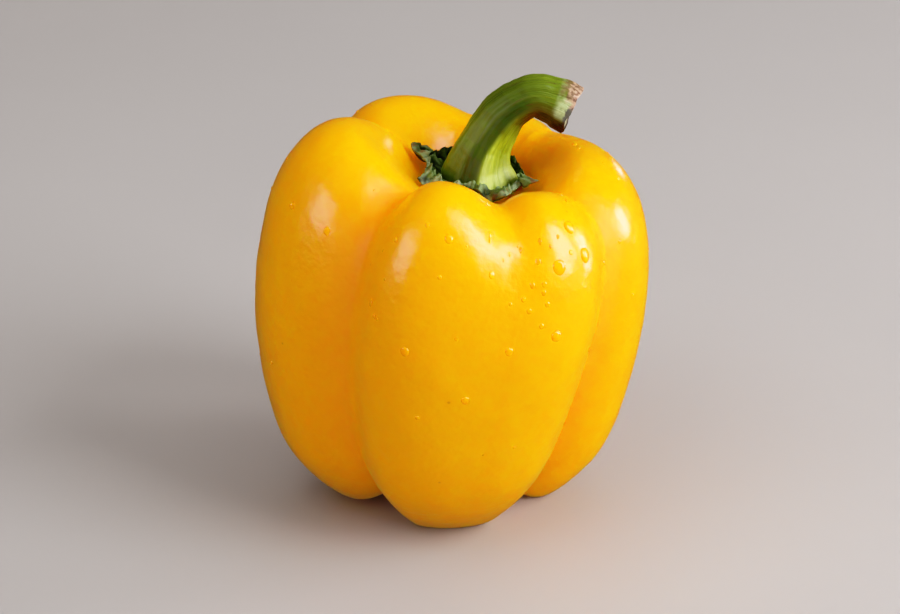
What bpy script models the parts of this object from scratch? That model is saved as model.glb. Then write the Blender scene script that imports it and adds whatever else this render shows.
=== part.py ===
"""Yellow bell pepper: one lobed fruit, the ragged calyx in its sunken top and the curved stem.

Metres, +Z up. The pepper stands on the low spots of its lobes at Z = 0, with the middle of its width over
the origin.
Azimuths are in degrees, counter-clockwise seen from above: 0 is +X, the right side, and 270 is -Y, the front.
"""
import math

import bpy
import numpy as np

MM = 0.001

# Fruit: driving dimensions in millimetres
BELLY_RADIUS = 44.3
CROWN_HEIGHT = 91.0

# Outline over the middle of a lobe, from the stem seat out over the shoulder and down to the blossom end.
# Each pair steers a smooth curve: a radius as a share of BELLY_RADIUS, a height as a share of CROWN_HEIGHT.
LOBE_OUTLINE = (
    (0.000, 0.850), (0.160, 0.850), (0.285, 0.850), (0.345, 0.900), (0.460, 0.968), (0.595, 1.002),
    (0.785, 0.965), (0.940, 0.852), (1.005, 0.653), (0.990, 0.457), (0.890, 0.215), (0.750, 0.095),
    (0.465, -0.041), (0.330, 0.029), (0.180, 0.068), (0.000, 0.082),
)

# Outline along the bottom of a full-depth crease, point for point with the one above
CREASE_OUTLINE = (
    (0.000, 0.850), (0.160, 0.850), (0.280, 0.848), (0.330, 0.866), (0.440, 0.922), (0.545, 0.922),
    (0.722, 0.890), (0.812, 0.788), (0.836, 0.620), (0.782, 0.467), (0.700, 0.276), (0.557, 0.149),
    (0.388, 0.087), (0.282, 0.060), (0.150, 0.072), (0.000, 0.082),
)

# One row for each lobe or half-lobe, counter-clockwise. It gives the azimuths of its ridge and of the crease
# after it, what it adds to the belly radius, to the crown height, to the height of the slope inside the crown
# and to the foot radius, the depth of that crease at the crown, shoulder, belly and foot as a share of
# CREASE_OUTLINE, and how many times wider than usual the crease's bottom is rounded. Depths below 0.3 are the
# faint furrows of a double lobe.
LOBES = (
    (0.0, 51.0, -2.2, -1.8, 0.0, 2.0, (0.45, 0.66, 0.93, 1.00), 1.0),
    (67.0, 86.0, 0.9, -5.4, -1.5, 0.0, (0.80, 0.54, 0.20, 0.20), 2.0),
    (117.0, 146.0, 2.4, -3.0, -2.8, 0.0, (0.70, 0.76, 0.85, 1.00), 1.0),
    (182.0, 229.0, 1.3, 0.2, 0.0, 0.3, (1.15, 1.01, 0.82, 1.05), 1.0),
    (255.0, 284.0, -1.0, 0.2, 0.0, -5.3, (0.85, 0.30, 0.06, 0.00), 4.0),
    (300.0, 327.5, -2.1, -2.0, 0.0, -4.8, (0.75, 1.02, 1.38, 1.12), 1.0),
)
LOBE_FULLNESS = 2.17
CREASE_ROUNDING_ENDS = 0.08
CREASE_ROUNDING_MIDDLE = 0.14
TWIST = 4.8
CROWN_LEAN = (6.7, -0.6)
CROWN_SLOPE = 0.15
SEAT_SHIFT = (1.6, 6.0)
SEAT_STATIONS = 5

# Calyx, in millimetres: a thin crinkled collar on the seat, with one tooth for each azimuth and reach
COLLAR_REACH = 12.2
TEETH = ((30.0, 14.6), (92.0, 13.8), (150.0, 20.8), (208.0, 15.4), (291.0, 19.6), (339.0, 19.0))
TOOTH_HALF_WIDTH = 12.0
RAGGEDNESS = 0.45
COLLAR_THICKNESS = 1.0
RIM_THICKNESS = 0.75
CRINKLE = 0.8
CRINKLE_START = 9.0
CRINKLE_RUN = 4.0
RIM_CURL = 1.8

# Stem, in millimetres from the middle of the calyx: its centre line, then rows of a share of its length, half
# its thickness and half its width there
STEM_LINE = (
    (0.0, -0.9, 0.0), (0.7, -0.9, 5.2), (2.9, -0.2, 10.3), (6.9, 0.0, 15.9),
    (12.4, 0.0, 18.8), (17.0, -0.3, 17.6), (21.1, -1.3, 15.8),
)
STEM_SIZES = (
    (0.00, 6.8, 8.0), (0.06, 7.9, 9.0), (0.15, 6.7, 7.6), (0.25, 5.8, 6.2), (0.45, 5.2, 5.6),
    (0.65, 4.5, 5.2), (0.80, 4.9, 5.1), (0.90, 5.5, 5.5), (1.00, 5.4, 5.6),
)
STEM_RIBS = 5
RIB_SHARE = 0.75
RIB_AZIMUTH = 271.0
FLARE_START = 0.85
FLARE_DROOP = 0.06
CUT_RIM = 0.18
CUT_RECESS = 0.5

# Clearance between pieces that touch, and how finely each surface is divided
GAP = 0.35
FRUIT_COLUMNS = (12, 8, 12, 16, 12, 10)
FRUIT_ROWS = 50
ROW_CROWDING = 9.0
CALYX_COLUMNS = 80
CALYX_ROWS = (0.0, 0.3, 0.55, 0.68, 0.78, 0.87, 0.94, 1.0)
STEM_COLUMNS = 25
STEM_ROWS = 24


def clear_scene():
    for item in list(bpy.data.objects):
        bpy.data.objects.remove(item, do_unlink=True)


def make_material(name, colour, roughness):
    material = bpy.data.materials.new(name)
    material.use_nodes = True
    shader = material.node_tree.nodes["Principled BSDF"]
    shader.inputs["Base Color"].default_value = (*colour, 1.0)
    shader.inputs["Roughness"].default_value = roughness
    shader.inputs["Metallic"].default_value = 0.0
    return material


def smooth_curve(points, at):
    """Uniform cubic B-spline, mirrored over the axis at both ends so that the poles come out smooth."""
    mirror = np.array([-1.0, 1.0])
    padded = np.concatenate([points[..., 1:2, :] * mirror, points, points[..., -2:-1, :] * mirror], axis=-2)
    start = np.clip(np.floor(at).astype(int), 0, points.shape[-2] - 2)
    f = (at - start)[:, None]
    weights = ((1 - f) ** 3, 3 * f**3 - 6 * f**2 + 4, -3 * f**3 + 3 * f**2 + 3 * f + 1, f**3)
    return sum(np.take(padded, start + k, axis=-2) * w / 6 for k, w in enumerate(weights))


def ramp(stations, values, count):
    """Weights for the outline's points, changing evenly between the given stations."""
    return np.interp(np.arange(count), stations, values)


def lobe_outlines():
    """One outline for each lobe's ridge and one for each crease, in millimetres."""
    size = np.array([BELLY_RADIUS, CROWN_HEIGHT])
    ridge = np.array(LOBE_OUTLINE) * size
    crease = np.array(CREASE_OUTLINE) * size
    n = len(ridge)
    belly_share = ramp([2, 7, 9, 13], [0, 1, 1, 0], n)
    crown_share = ramp([2, 5, 8.5], [0, 1, 0], n)
    inner_share = ramp([2, 4, 6], [0, 1, 0], n)
    foot_share = ramp([8, 11, 12, 15], [0, 1, 1, 0], n)
    ridges = []
    for _, _, belly, crown, inner, foot, _, _ in LOBES:
        own = ridge.copy()
        own[:, 0] += belly * belly_share + foot * foot_share
        own[:, 1] += crown * crown_share + inner * inner_share
        ridges.append(own)
    creases = []
    for i, row in enumerate(LOBES):
        level = (ridges[i] + ridges[(i + 1) % len(LOBES)]) / 2
        depth = np.interp(np.arange(n), [5.5, 7, 9, 12], row[6])[:, None]
        creases.append(level + (crease - level) * depth)
    return ridge, ridges, creases


RIDGE, RIDGES, CREASES = lobe_outlines()
ROUNDING = ramp([4, 8, 11], [CREASE_ROUNDING_ENDS, CREASE_ROUNDING_MIDDLE, CREASE_ROUNDING_ENDS], len(RIDGE))


def crease_share(place, width):
    """0 on a lobe's ridge (place 0) and 1 in the crease beside it (place 1), with a rounded crease bottom."""
    rounding = ROUNDING * width
    full = np.sqrt(1 + rounding**2)
    dip = (full - np.sqrt((1 - place) ** 2 + rounding**2)) / (full - rounding)
    return dip**LOBE_FULLNESS


def meridian(azimuth):
    """Outline of the skin at one azimuth."""
    for i, (middle, end, *_) in enumerate(LOBES):
        start = LOBES[i - 1][1]
        width = (end - start) % 360
        here = (azimuth - start) % 360
        if here < width:
            break
    before = (middle - start) % 360
    if here < before:
        edge, place = i - 1, 1 - here / before
    else:
        edge, place = i, (here - before) / (width - before)
    return RIDGES[i] + (CREASES[edge] - RIDGES[i]) * crease_share(place, LOBES[edge][7])[:, None]


def arc_table():
    """Length along the plain lobe outline for the curve's parameter, and lengths crowded where it bends."""
    at = np.linspace(0, len(RIDGE) - 1, 800)
    line = smooth_curve(RIDGE, at)
    step = np.diff(line, axis=0)
    length = np.concatenate([[0], np.cumsum(np.linalg.norm(step, axis=1))])
    heading = np.unwrap(np.arctan2(step[:, 1], step[:, 0]))
    bend = np.abs(np.gradient(heading))
    effort = np.concatenate([[0], np.cumsum(np.diff(length) + ROW_CROWDING * bend)])
    rows = np.interp(np.linspace(0, effort[-1], FRUIT_ROWS + 1), effort, length)
    return at, length, rows


ARC_PARAMETER, ARC_LENGTH, ROW_LENGTHS = arc_table()


def skin(azimuths, lengths):
    """Points of the fruit's skin, a row for each azimuth; lengths run out from the middle of the seat."""
    outlines = np.array([meridian(a) for a in azimuths])
    points = np.empty((len(azimuths), lengths.shape[-1], 3))
    for i, outline in enumerate(outlines):
        own = lengths if lengths.ndim == 1 else lengths[i]
        at = np.interp(own, ARC_LENGTH, ARC_PARAMETER)
        radius, height = smooth_curve(outline, at).T
        turn = math.radians(azimuths[i]) + np.radians(TWIST) * (height / CROWN_HEIGHT - 0.5)
        inward = np.clip(1 - at / SEAT_STATIONS, 0, 1)
        seat = inward**2 * (3 - 2 * inward)
        share = np.clip(height / CROWN_HEIGHT, 0, None)
        x = radius * np.cos(turn) + CROWN_LEAN[0] * share**1.5 + SEAT_SHIFT[0] * seat
        y = radius * np.sin(turn) + CROWN_LEAN[1] * share**1.5 + SEAT_SHIFT[1] * seat
        z = height - CROWN_SLOPE * x * share**2
        points[i] = np.stack([x, y, np.maximum(z, 0)], axis=-1)
    return points


def fruit_azimuths():
    """Columns spread so that each lobe's ridge and each crease has one of its own."""
    azimuths = []
    for i, (count, row) in enumerate(zip(FRUIT_COLUMNS, LOBES)):
        start = LOBES[i - 1][1]
        before = (row[0] - start) % 360
        after = (row[1] - row[0]) % 360
        first = max(round(count * before / (before + after)), 2)
        azimuths += [start + before * k / first for k in range(first)]
        azimuths += [start + before + after * k / (count - first) for k in range(count - first)]
    return azimuths


def shell_faces(columns, rows, offset):
    """Quads, as two triangles each, between neighbouring columns of points that start at offset."""
    faces = []
    for i in range(columns):
        for j in range(rows - 1):
            a = offset + i * rows + j
            b = offset + ((i + 1) % columns) * rows + j
            faces += [(a, a + 1, b + 1), (a, b + 1, b)]
    return faces


def make_object(name, points, faces, material):
    mesh = bpy.data.meshes.new(name)
    mesh.from_pydata([tuple(p * MM) for p in points], [], faces)
    mesh.validate()
    mesh.shade_smooth()
    mesh.materials.append(material)
    item = bpy.data.objects.new(name, mesh)
    bpy.context.scene.collection.objects.link(item)
    return item


def make_fruit(material):
    azimuths = fruit_azimuths()
    grid = skin(azimuths, ROW_LENGTHS)
    columns = len(azimuths)
    rows = FRUIT_ROWS - 1
    points = [grid[:, 0].mean(axis=0), grid[:, -1].mean(axis=0), *grid[:, 1:-1].reshape(-1, 3)]
    faces = shell_faces(columns, rows, 2)
    for i in range(columns):
        here = 2 + i * rows
        after = 2 + ((i + 1) % columns) * rows
        faces.append((0, here, after))
        faces.append((1, after + rows - 1, here + rows - 1))
    return make_object("fruit", np.array(points), faces, material)


def tooth_reach(azimuth):
    """How far the collar reaches from the stem's middle: its teeth, made ragged by a few waves."""
    reach = COLLAR_REACH
    for middle, length in TEETH:
        away = (azimuth - middle + 180) % 360 - 180
        reach += (length - COLLAR_REACH) * math.exp(-((away / TOOTH_HALF_WIDTH) ** 2))
    turn = math.radians(azimuth)
    ragged = math.sin(11 * turn + 0.6) + 0.8 * math.sin(17 * turn + 2.1) + 0.6 * math.sin(29 * turn + 4.0)
    return reach + RAGGEDNESS * ragged


def make_calyx(material):
    azimuths = [360 * i / CALYX_COLUMNS for i in range(CALYX_COLUMNS)]
    shares = np.array(CALYX_ROWS)
    lengths = np.array([tooth_reach(a) * shares for a in azimuths])
    seat = skin(azimuths, lengths)
    along = np.gradient(seat, axis=1)
    across = np.roll(seat, -1, axis=0) - np.roll(seat, 1, axis=0)
    normal = np.cross(along, across)
    normal[:, 0] = (0, 0, 1)
    normal /= np.linalg.norm(normal, axis=-1, keepdims=True)
    turn = np.radians(azimuths)[:, None]
    edge = np.clip((lengths - CRINKLE_START) / CRINKLE_RUN, 0, 1)
    waves = np.sin(13 * turn + 1.5 * lengths) * np.sin(7 * turn - 0.9 * lengths + 1.0)
    curl = RIM_CURL * edge**2 * (0.55 + 0.45 * np.sin(5 * turn + 4.45))
    low = GAP + curl
    thickness = COLLAR_THICKNESS + (RIM_THICKNESS - COLLAR_THICKNESS) * edge
    high = low + thickness + CRINKLE * waves * edge * (1.6 - edge)
    under = seat + normal * low[..., None]
    over = seat + normal * high[..., None]
    columns, rows = CALYX_COLUMNS, len(shares) - 1
    points = [over[:, 0].mean(axis=0), under[:, 0].mean(axis=0)]
    points += [*over[:, 1:].reshape(-1, 3), *under[:, 1:].reshape(-1, 3)]
    upper, lower = 2, 2 + columns * rows
    faces = shell_faces(columns, rows, upper)
    faces += [face[::-1] for face in shell_faces(columns, rows, lower)]
    for i in range(columns):
        j = (i + 1) % columns
        faces.append((0, upper + i * rows, upper + j * rows))
        faces.append((1, lower + j * rows, lower + i * rows))
        rim = [upper + i * rows + rows - 1, lower + i * rows + rows - 1]
        rim += [lower + j * rows + rows - 1, upper + j * rows + rows - 1]
        faces.append((rim[0], rim[1], rim[2]))
        faces.append((rim[0], rim[2], rim[3]))
    return make_object("calyx", np.array(points), faces, material), points[0]


def curve_through(points, shares):
    """Smooth curve through the given points, at shares of its length, with its direction there."""
    points = np.array(points, float)
    knots = np.concatenate([[0], np.cumsum(np.linalg.norm(np.diff(points, axis=0), axis=1))])
    slopes = np.gradient(points, knots, axis=0)
    at = np.array(shares) * knots[-1]
    k = np.clip(np.searchsorted(knots, at, side="right") - 1, 0, len(points) - 2)
    span = (knots[k + 1] - knots[k])[:, None]
    f = ((at - knots[k]) / (knots[k + 1] - knots[k]))[:, None]
    place = (2 * f**3 - 3 * f**2 + 1) * points[k] + (f**3 - 2 * f**2 + f) * span * slopes[k]
    place += (3 * f**2 - 2 * f**3) * points[k + 1] + (f**3 - f**2) * span * slopes[k + 1]
    direction = np.gradient(place, axis=0)
    return place, direction / np.linalg.norm(direction, axis=1, keepdims=True)


def rib_radius(turn):
    """Radius of the stem's section: between a circle and a polygon with one corner for each rib."""
    step = 2 * math.pi / STEM_RIBS
    inside = (turn - math.radians(RIB_AZIMUTH) + step / 2) % step - step / 2
    polygon = math.cos(step / 2) / np.cos(step / 2 - np.abs(inside))
    return 1 + RIB_SHARE * (polygon / polygon.mean() - 1)


def make_stem(material, foot):
    shares = np.linspace(0, 1, STEM_ROWS) ** 1.15
    line, direction = curve_through(STEM_LINE, shares)
    stations, thick, wide = np.array(STEM_SIZES).T
    turn = np.arange(STEM_COLUMNS) * 2 * math.pi / STEM_COLUMNS
    rings = []
    for share, middle, ahead in zip(shares, line, direction):
        out = np.cross((0.0, 1.0, 0.0), ahead)
        out /= np.linalg.norm(out)
        side = np.cross(ahead, out)
        half = np.interp(share, stations, thick)
        half_wide = np.interp(share, stations, wide)
        flare = np.clip((share - FLARE_START) / (1 - FLARE_START), 0, 1)
        radius = rib_radius(turn) + FLARE_DROOP * flare * np.clip(np.cos(turn), 0, 1) ** 2
        ring = np.outer(half * radius * np.cos(turn), out) + np.outer(half_wide * radius * np.sin(turn), side)
        rings.append(middle + ring)
    rim = rings[-1].mean(axis=0)
    rings.append(rim + (rings[-1] - rim) * (1 - CUT_RIM) - direction[-1] * CUT_RECESS)
    points = np.array(rings).transpose(1, 0, 2)
    rows = len(rings)
    caps = [rings[0].mean(axis=0), rings[-1].mean(axis=0)]
    faces = [face[::-1] for face in shell_faces(STEM_COLUMNS, rows, 2)]
    for i in range(STEM_COLUMNS):
        here = 2 + i * rows
        after = 2 + ((i + 1) % STEM_COLUMNS) * rows
        faces.append((0, after, here))
        faces.append((1, here + rows - 1, after + rows - 1))
    moved = np.concatenate([caps, points.reshape(-1, 3)]) + foot + np.array([0.0, 0.0, GAP])
    return make_object("stem", moved, faces, material)


def centre_on_origin(items):
    """Slide every piece so that the middle of the whole pepper's width is over the origin."""
    corners = np.array([vertex.co for item in items for vertex in item.data.vertices])
    middle = (corners.min(axis=0) + corners.max(axis=0)) / 2
    for item in items:
        for vertex in item.data.vertices:
            vertex.co.x -= middle[0]
            vertex.co.y -= middle[1]


clear_scene()
fruit = make_fruit(make_material("yellow skin", (0.90, 0.47, 0.01), 0.25))
calyx, seat_top = make_calyx(make_material("dried green sepals", (0.10, 0.17, 0.07), 0.7))
stem = make_stem(make_material("green stalk", (0.16, 0.27, 0.04), 0.5), seat_top)
centre_on_origin((fruit, calyx, stem))
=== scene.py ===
import math

import bpy
import numpy as np
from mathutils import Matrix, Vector


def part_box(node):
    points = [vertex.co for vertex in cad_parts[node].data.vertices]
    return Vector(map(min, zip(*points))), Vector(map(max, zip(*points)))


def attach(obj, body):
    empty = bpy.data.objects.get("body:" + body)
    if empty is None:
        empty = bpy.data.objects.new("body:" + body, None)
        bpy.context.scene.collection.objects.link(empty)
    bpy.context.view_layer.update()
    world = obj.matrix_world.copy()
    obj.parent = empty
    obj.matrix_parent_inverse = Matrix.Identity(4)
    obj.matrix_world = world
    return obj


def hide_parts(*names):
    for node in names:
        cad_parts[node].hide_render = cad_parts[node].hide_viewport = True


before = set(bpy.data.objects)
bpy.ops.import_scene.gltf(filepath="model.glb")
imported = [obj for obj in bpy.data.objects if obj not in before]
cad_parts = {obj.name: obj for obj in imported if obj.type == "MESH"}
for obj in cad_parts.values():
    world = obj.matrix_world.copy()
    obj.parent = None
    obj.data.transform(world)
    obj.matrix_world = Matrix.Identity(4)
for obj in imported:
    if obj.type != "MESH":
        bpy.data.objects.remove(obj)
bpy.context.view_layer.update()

MM = 0.001

# Fruit, as in the part's source: sizes in millimetres, azimuths in degrees counter-clockwise from +X
BELLY_RADIUS = 44.3
CROWN_HEIGHT = 91.0
LOBE_OUTLINE = (
    (0.000, 0.850), (0.160, 0.850), (0.285, 0.850), (0.345, 0.900), (0.460, 0.968), (0.595, 1.002),
    (0.785, 0.965), (0.940, 0.852), (1.005, 0.653), (0.990, 0.457), (0.890, 0.215), (0.750, 0.095),
    (0.465, -0.041), (0.330, 0.029), (0.180, 0.068), (0.000, 0.082),
)
CREASE_OUTLINE = (
    (0.000, 0.850), (0.160, 0.850), (0.280, 0.848), (0.330, 0.866), (0.440, 0.922), (0.545, 0.922),
    (0.722, 0.890), (0.812, 0.788), (0.836, 0.620), (0.782, 0.467), (0.700, 0.276), (0.557, 0.149),
    (0.388, 0.087), (0.282, 0.060), (0.150, 0.072), (0.000, 0.082),
)
# Azimuths of a lobe's ridge and of the crease after it; what it adds to the belly, the crown, the slope
# inside it and the foot; the crease's depth at the crown, shoulder, belly and foot; the width of its bottom
LOBES = (
    (0.0, 51.0, -2.2, -1.8, 0.0, 2.0, (0.45, 0.66, 0.93, 1.00), 1.0),
    (67.0, 86.0, 0.9, -5.4, -1.5, 0.0, (0.80, 0.54, 0.20, 0.20), 2.0),
    (117.0, 146.0, 2.4, -3.0, -2.8, 0.0, (0.70, 0.76, 0.85, 1.00), 1.0),
    (182.0, 229.0, 1.3, 0.2, 0.0, 0.3, (1.15, 1.01, 0.82, 1.05), 1.0),
    (255.0, 284.0, -1.0, 0.2, 0.0, -5.3, (0.85, 0.30, 0.06, 0.00), 4.0),
    (300.0, 327.5, -2.1, -2.0, 0.0, -4.8, (0.75, 1.02, 1.38, 1.12), 1.0),
)
LOBE_FULLNESS = 2.17
CREASE_ROUNDING_ENDS = 0.08
CREASE_ROUNDING_MIDDLE = 0.14
TWIST = 4.8
CROWN_LEAN = (6.7, -0.6)
CROWN_SLOPE = 0.15
SEAT_SHIFT = (1.6, 6.0)
SEAT_STATIONS = 5

# Calyx and stem, as in the part's source
COLLAR_REACH = 12.2
TEETH = ((30.0, 14.6), (92.0, 13.8), (150.0, 20.8), (208.0, 15.4), (291.0, 19.6), (339.0, 19.0))
TOOTH_HALF_WIDTH = 12.0
RAGGEDNESS = 0.45
COLLAR_THICKNESS = 1.0
RIM_THICKNESS = 0.75
CRINKLE_START = 9.0
CRINKLE_RUN = 4.0
RIM_CURL = 1.8
STEM_LINE = (
    (0.0, -0.9, 0.0), (0.7, -0.9, 5.2), (2.9, -0.2, 10.3), (6.9, 0.0, 15.9),
    (12.4, 0.0, 18.8), (17.0, -0.3, 17.6), (21.1, -1.3, 15.8),
)
STEM_SIZES = (
    (0.00, 6.8, 8.0), (0.06, 7.9, 9.0), (0.15, 6.7, 7.6), (0.25, 5.8, 6.2), (0.45, 5.2, 5.6),
    (0.65, 4.5, 5.2), (0.80, 4.9, 5.1), (0.90, 5.5, 5.5), (1.00, 5.4, 5.6),
)
STEM_RIBS = 5
RIB_SHARE = 0.75
RIB_AZIMUTH = 271.0
FLARE_START = 0.85
FLARE_DROOP = 0.06
GAP = 0.35

# Fields of seeded waves: seed, how many waves, and the shortest and longest in millimetres
SWELL_WAVES = (5, 14, 10.0, 32.0)
RIPPLE_WAVES = (6, 40, 3.0, 7.0)
LUMP_WAVES = (21, 30, 1.2, 3.2)
FOLD_WAVES = (22, 16, 2.6, 6.0)
ROUGH_WAVES = (30, 30, 1.5, 5.0)
PIT_WAVES = (31, 16, 1.2, 3.0)
CHIP_WAVES = (32, 12, 2.0, 5.0)

# Fine detail that only the visible fruit has: columns for each lobe, rows, and depths in millimetres
FRUIT_COLUMNS = (56, 34, 52, 76, 58, 50)
FRUIT_ROWS = 230
ROW_CROWDING = 5.0
SWELL_DEPTH = 0.30
RIPPLE_DEPTH = 0.07
LEAST_DEPTH = 0.03
FOOT_FADE = 4.0
# Strength of the creases' painted orange shade, which also dulls their gloss, at the outline's points,
# counted from the stem seat outwards
CREASE_SHADE_AND_DULLING = ((2.5, 0.0), (5.0, 1.0))

# Fine detail that only the visible calyx and stem have: counts, shares, and sizes in millimetres
CALYX_COLUMNS = 420
CALYX_ROWS = 46
CALYX_CRINKLE = 1.5
CRINKLE_LEAD = 1.5
RIM_TAPER = 0.06
STEM_COLUMNS = 150
STEM_ROWS = 150
STEM_CORNER_BLUR = 5.0
STEM_GROOVES = 0.12
STEM_ROUGHNESS = 0.10
ROOT_REACH = 0.22
ROOT_RIBS = 0.9
ROOT_SINK = 0.2
ROOT_SPREAD = 3.2
ROOT_SPREAD_REACH = 0.13
ROOT_SPREAD_AZIMUTH = 285.0
CHIPPED_RIM = 0.35
CUT_PITS = 0.15
# How far the ribs have turned, in degrees, at shares of the stem's length
RIB_TWIST = ((0.0, 0.0), (0.15, 2.0), (0.40, 14.0), (1.0, 18.0))
# Angle round the stem in degrees against the strength of the painted shade on its side away from the key
# light, then of the painted sheen stripe in that shade
PAINTED_SHADE_SIDE = ((130.0, 0.0), (170.0, 0.45), (225.0, 0.6), (240.0, 1.0), (262.0, 1.0), (272.0, 0.0))
PAINTED_SHEEN_STRIPE = ((196.0, 0.0), (212.0, 1.0), (230.0, 1.0), (243.0, 0.0))
# Rings of the cut face: the share of the way in from the rim, and how deep each lies
CUT_FACE = ((0.03, 0.0), (0.08, 0.05), (0.14, 0.35), (0.20, 0.55), (0.4, 0.6), (0.6, 0.55), (0.8, 0.5))
# Radius and length of the stem laid out straight, as its material's streaks follow it
STRAIGHT_RADIUS = 6.0
STRAIGHT_LENGTH = 31.0

# Drops of water: azimuth, height and diameter of each one on the lobes at the front
FRONT_DROPS = (
    (273.7, 82.1, 2.6), (304.3, 81.2, 2.7), (308.2, 75.4, 3.0), (297.3, 75.0, 3.0), (291.8, 80.0, 1.6),
    (298.4, 80.4, 1.0), (302.4, 77.0, 1.0), (290.3, 76.6, 1.4), (285.1, 78.7, 1.4), (294.9, 79.0, 1.0),
    (281.2, 78.4, 1.1), (278.9, 77.7, 1.0), (275.1, 75.4, 1.6), (322.2, 69.9, 1.2), (288.4, 72.2, 1.3),
    (292.1, 72.1, 1.2), (292.1, 70.3, 1.2), (285.8, 69.5, 1.1), (293.3, 67.8, 1.2), (287.8, 66.9, 1.2),
    (260.0, 83.0, 1.8), (297.2, 60.3, 2.4), (252.9, 58.9, 2.0), (238.8, 67.2, 1.8), (283.0, 58.4, 1.8),
    (272.2, 47.2, 1.8), (199.7, 80.2, 1.6), (215.2, 77.9, 1.8), (292.1, 63.2, 1.2),
)
# The length of those against their width, then the scattered ones: how many, the highest, how far below it
# they go, their diameters and their lengths
DROP_STRETCH = 1.25
MORE_DROPS = 70
DROP_SEED = 11
DROP_TOP = 86.0
DROP_FALL = 62.0
DROP_SIZES = (0.5, 1.2)
DROP_STRETCHES = (1.0, 1.3)
# The height of every drop against its width, how far it sinks into the skin, and the counts of its mesh
DROP_TALLNESS = (0.20, 0.30)
DROP_SINK = 0.05
DROP_SIDES = 20
DROP_RINGS = 7

# Camera, in degrees and millimetres
CAMERA_TILT = 28.0
CAMERA_DISTANCE = 562.0
CAMERA_AIM = (-0.37, -0.23, 47.3)
LENS = 100.0
SENSOR = 36.0

# Floor and backdrop, in metres: it lies flat up to the bend and then curves up
FLOOR_HALF_WIDTH = 4.0
FLOOR_FRONT = -2.5
FLOOR_BEND = 0.35
BACKDROP_RADIUS = 0.8
BACKDROP_TOP = (1.2, 3.0)

# Azimuth, height angle, distance, width, height and power of each light, in degrees, metres and watts: first
# those that light the pepper, then those that show in its gloss
LIGHT_AIM = (0.0, 0.0, 0.05)
SHADE_COLOUR = (1.0, 0.97, 0.94)
SHADE_LIGHTS = (
    ("key_window", 333.0, 28.0, 1.0, 0.48, 0.90, 12.5),
    ("side_window", 9.0, 18.0, 1.0, 0.24, 0.75, 4.5),
    ("left_window", 205.0, 18.0, 1.0, 0.42, 0.50, 1.0),
    ("top_softbox", 60.0, 75.0, 1.2, 1.2, 1.2, 6.0),
    ("front_softbox", 255.0, 5.0, 1.4, 1.4, 0.9, 7.2),
    ("upper_left_softbox", 218.0, 60.0, 1.1, 0.7, 0.6, 3.4),
)
GLOSS_COLOUR = (0.72, 0.66, 1.0)
GLOSS_LIGHTS = (
    ("key_glint", 336.0, 31.0, 1.0, 0.44, 0.95, 8.5),
    ("side_glint", 10.0, 7.0, 1.0, 0.24, 0.56, 4.2),
    ("left_glint", 206.0, 20.0, 1.0, 0.50, 0.50, 2.3),
    ("high_glint", 317.0, 62.0, 1.0, 0.16, 0.16, 0.5),
    ("back_glint", 64.0, -1.0, 0.8, 0.07, 0.06, 0.11),
)

ROOM_COLOUR = (1.0, 0.82, 0.55)
ROOM_STRENGTH = 0.14

# Tone curve: light in the scene against brightness in the picture, then the light that comes out white
TONE_CURVE = ((0.03, 0.008), (0.10, 0.07), (0.22, 0.20), (0.45, 0.47), (0.70, 0.70), (1.0, 0.88))
TONE_WHITE = 1.4

# Colours as linear red, green and blue
SKIN_CREASE_SHADE = (0.96, 0.30, 0.0)
SKIN_DEEP = (0.98, 0.415, 0.0)
SKIN_BRIGHT = (0.98, 0.435, 0.0)
SKIN_STREAK = (0.98, 0.55, 0.02)
SKIN_SPECK = (0.42, 0.13, 0.01)
WATER = (0.99, 0.48, 0.005)
STEM_GREEN = (0.21, 0.285, 0.018)
STEM_LIGHT = (0.34, 0.43, 0.032)
STEM_PATCH = (0.11, 0.15, 0.006)
STEM_FIBRE = (0.40, 0.47, 0.06)
STEM_RIDGE = (0.33, 0.41, 0.05)
STEM_ARCH = (0.055, 0.10, 0.014)
STEM_PAINTED_SHADE = (0.026, 0.054, 0.003)
STEM_SHEEN = (0.11, 0.15, 0.06)
STEM_FOOT = (0.50, 0.57, 0.20)
STEM_INSIDE = (0.075, 0.050, 0.003)
STEM_SCRATCH = (0.09, 0.055, 0.02)
STEM_PALE_END_AND_HIGHLIGHT = (0.46, 0.56, 0.32)
STEM_SCAR = (0.17, 0.10, 0.045)
CORK_DARK = (0.17, 0.10, 0.065)
CORK_LIGHT = (0.48, 0.33, 0.25)
RIM_GREY = (0.11, 0.11, 0.09)
RIM_BROWN = (0.035, 0.014, 0.004)
PITH_DARK = (0.28, 0.29, 0.17)
PITH_LIGHT = (0.50, 0.48, 0.34)
CALYX_DEEP = (0.030, 0.050, 0.012)
CALYX_GREEN = (0.110, 0.165, 0.040)
CALYX_CREST_LIGHT = (0.20, 0.28, 0.12)
CALYX_HOLLOW_SHADE = (0.012, 0.016, 0.005)
CALYX_RIM = (0.22, 0.29, 0.16)
CALYX_TIP = (0.16, 0.07, 0.03)
FLOOR_DEEP = (0.375, 0.365, 0.375)
FLOOR_PALE = (0.415, 0.405, 0.415)


def smooth_curve(points, at):
    """Uniform cubic B-spline, mirrored over the axis at both ends so that the poles come out smooth."""
    mirror = np.array([-1.0, 1.0])
    padded = np.concatenate([points[..., 1:2, :] * mirror, points, points[..., -2:-1, :] * mirror], axis=-2)
    start = np.clip(np.floor(at).astype(int), 0, points.shape[-2] - 2)
    f = (at - start)[:, None]
    weights = ((1 - f) ** 3, 3 * f**3 - 6 * f**2 + 4, -3 * f**3 + 3 * f**2 + 3 * f + 1, f**3)
    return sum(np.take(padded, start + k, axis=-2) * w / 6 for k, w in enumerate(weights))


def ramp(stations, values, count):
    """Weights for the outline's points, changing evenly between the given stations."""
    return np.interp(np.arange(count), stations, values)


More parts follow.
